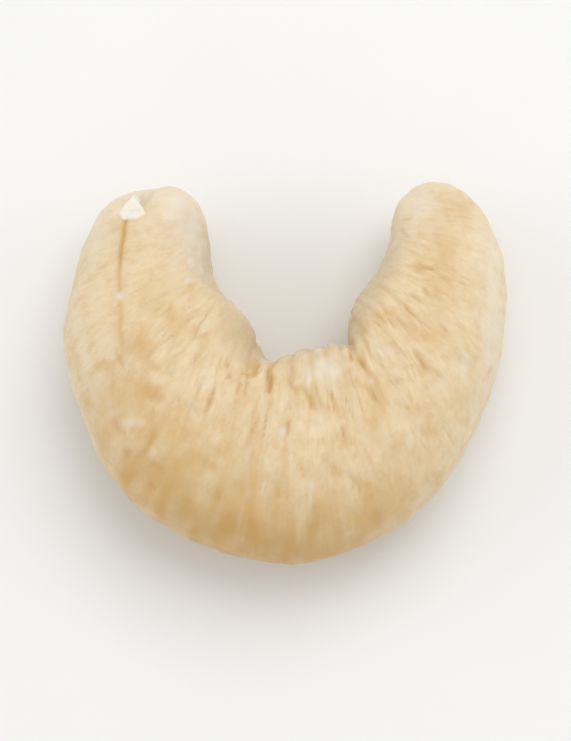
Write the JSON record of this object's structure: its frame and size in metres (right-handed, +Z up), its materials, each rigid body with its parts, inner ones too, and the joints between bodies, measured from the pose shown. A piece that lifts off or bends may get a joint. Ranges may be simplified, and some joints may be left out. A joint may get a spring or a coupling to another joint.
{
  "type": "cashew nut",
  "caption": "Whole pale cashew kernel curled into a U, with a germ tooth at one tip, a split line below it and radial pleats in the crook.",
  "frame": {"origin": "middle of the kernel's footprint, on the surface that it lies on", "axes": "+X across the curl, towards the plain arm; +Y from the belly to the open mouth of the curl; +Z up"},
  "size_m": [0.024, 0.021, 0.0096],
  "materials": {
    "kernel": "waxy satin"
  },
  "bodies": {
    "root": {"cashew_nut": "kernel"}
  },
  "joints": []
}
